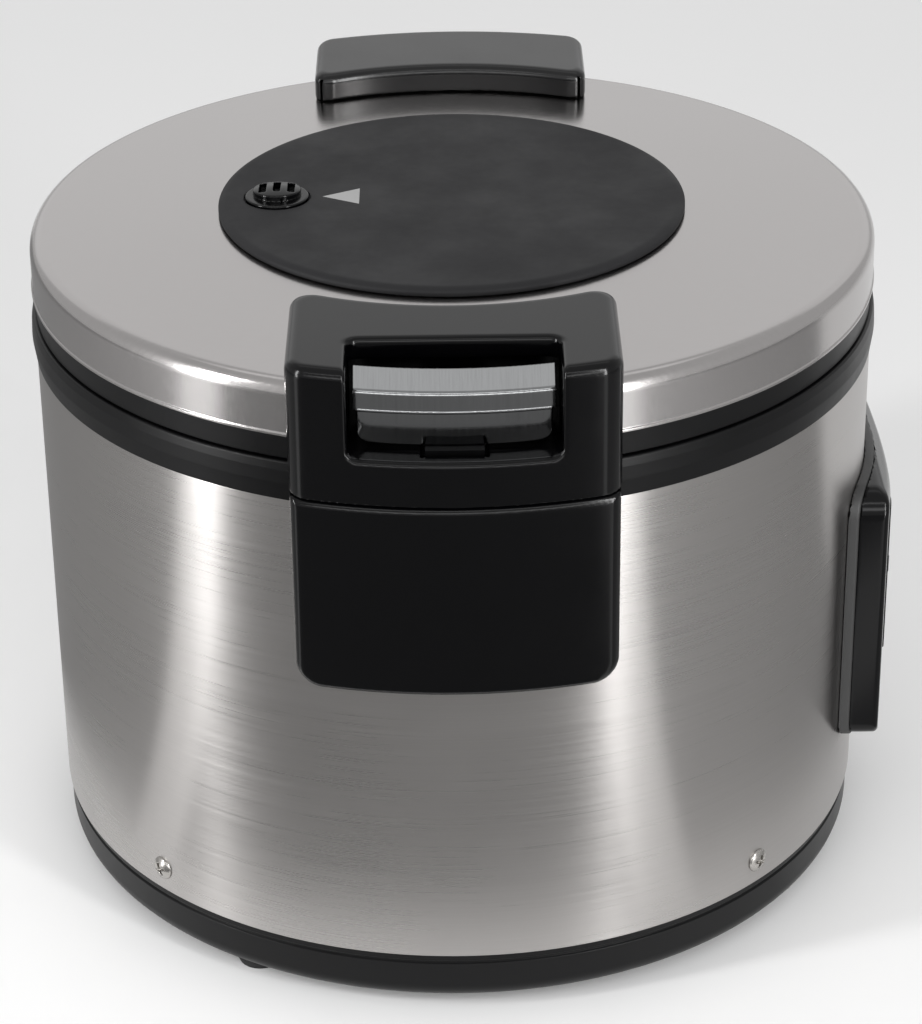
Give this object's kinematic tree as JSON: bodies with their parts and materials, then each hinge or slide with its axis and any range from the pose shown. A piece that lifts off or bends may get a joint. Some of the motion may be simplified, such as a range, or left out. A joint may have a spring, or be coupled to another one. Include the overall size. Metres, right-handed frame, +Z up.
{
  "type": "drum rice cooker",
  "caption": "Large drum-shaped electric rice cooker with a hinged steel lid, front latch lever, steam vent, inner pot and side control box.",
  "frame": {"origin": "drum axis at the level of the floor, under the rubber feet", "axes": "+Z up along the drum axis, -Y towards the lid latch, +Y towards the lid hinge, +X towards the control box"},
  "size_m": [0.3972, 0.4155, 0.319],
  "materials": {
    "satin_steel": "satin stainless sheet",
    "chrome": "polished chrome plate",
    "black_gloss": "glossy black moulding",
    "black_satin": "satin black moulding",
    "disc_grey": "fine-textured dark grey moulding",
    "frame_grey": "grey moulding",
    "black_steel": "black coated steel",
    "zinc_steel": "zinc-plated steel",
    "screw_steel": "bright stainless",
    "aluminium": "spun aluminium",
    "cast_aluminium": "machined casting",
    "rubber": "moulded rubber",
    "silicone": "pale silicone",
    "fibre": "glass-fibre blanket",
    "foam": "insulating foam",
    "band": "woven band heater",
    "red_lens": "tinted lens",
    "amber_lens": "tinted lens",
    "ceramic": "cream ceramic-filled moulding",
    "cable": "sleeved cable"
  },
  "bodies": {
    "body": {"outer_shell": "satin_steel", "base_pan": "black_satin", "bottom_plate": "zinc_steel", "rubber_feet": "rubber", "shell_screws": "screw_steel", "foot_screws": "zinc_steel", "floor_screws": "zinc_steel", "body_collar": "black_gloss", "pot_well": "satin_steel", "inner_pot": "aluminium", "heater_plate": "cast_aluminium", "heater_posts": "zinc_steel", "sensor_housing": "zinc_steel", "sensor_spring": "screw_steel", "warming_band": "band", "insulation_blanket": "fibre", "front_housing": "black_gloss", "catch_plate": "zinc_steel", "catch_screws": "zinc_steel", "hinge_bracket": "black_steel", "hinge_housing": "black_gloss", "hinge_pin": "screw_steel", "hinge_clip": "screw_steel", "control_frame": "frame_grey", "control_box": "black_gloss", "control_panel": "black_satin", "cook_lamp": "red_lens", "warm_lamp": "amber_lens", "switch_pin": "screw_steel", "switch_bracket": "zinc_steel", "micro_switch": "ceramic", "terminal_block": "ceramic", "thermal_fuse": "ceramic", "power_inlet": "black_satin", "wiring_loom": "cable"},
    "lid": {"lid_shell": "satin_steel", "lid_ring": "black_gloss", "lid_inner_pan": "satin_steel", "lid_insulation": "foam", "vent_tube": "silicone", "inner_lid": "aluminium", "lid_gasket": "silicone", "inner_lid_knob": "black_satin", "inner_lid_stud": "screw_steel", "centre_disc": "disc_grey", "latch_housing": "black_gloss", "lever_pin": "screw_steel", "lever_spring": "screw_steel", "hinge_arm": "black_steel", "hinge_arm_screws": "zinc_steel", "rear_cover": "black_gloss"},
    "lever": {"release_lever": "chrome", "latch_hook": "black_steel"},
    "vent": {"vent_cap": "black_satin"},
    "switch": {"cook_lever": "chrome"},
    "sensor": {"sensor_cap": "aluminium"}
  },
  "joints": [
    {"name": "lid_hinge", "type": "hinge", "parent": "body", "child": "lid", "pos_m": [0, 0.2005, 0.262], "axis": [-1, 0, 0], "range_deg": [0, 85]},
    {"name": "latch_lever", "type": "hinge", "parent": "lid", "child": "lever", "pos_m": [0, -0.1964, 0.268], "axis": [-1, 0, 0], "range_deg": [0, 9], "stiffness_Nm_per_rad": 0.6, "springref_deg": -11.46},
    {"name": "vent_lift", "type": "slide", "parent": "lid", "child": "vent", "axis": [0, 0, 1], "range_m": [0, 0.03]},
    {"name": "cook_switch", "type": "hinge", "parent": "body", "child": "switch", "pos_m": [0.184, 0, 0.12], "axis": [0, 1, 0], "range_deg": [0, 18], "stiffness_Nm_per_rad": 0.05, "springref_deg": -17.19},
    {"name": "sensor_plunge", "type": "slide", "parent": "body", "child": "sensor", "axis": [0, 0, 1], "range_m": [-0.002, 0], "stiffness_N_per_m": 800, "springref_m": 0.003, "deforming": ["sensor_spring"]}
  ]
}
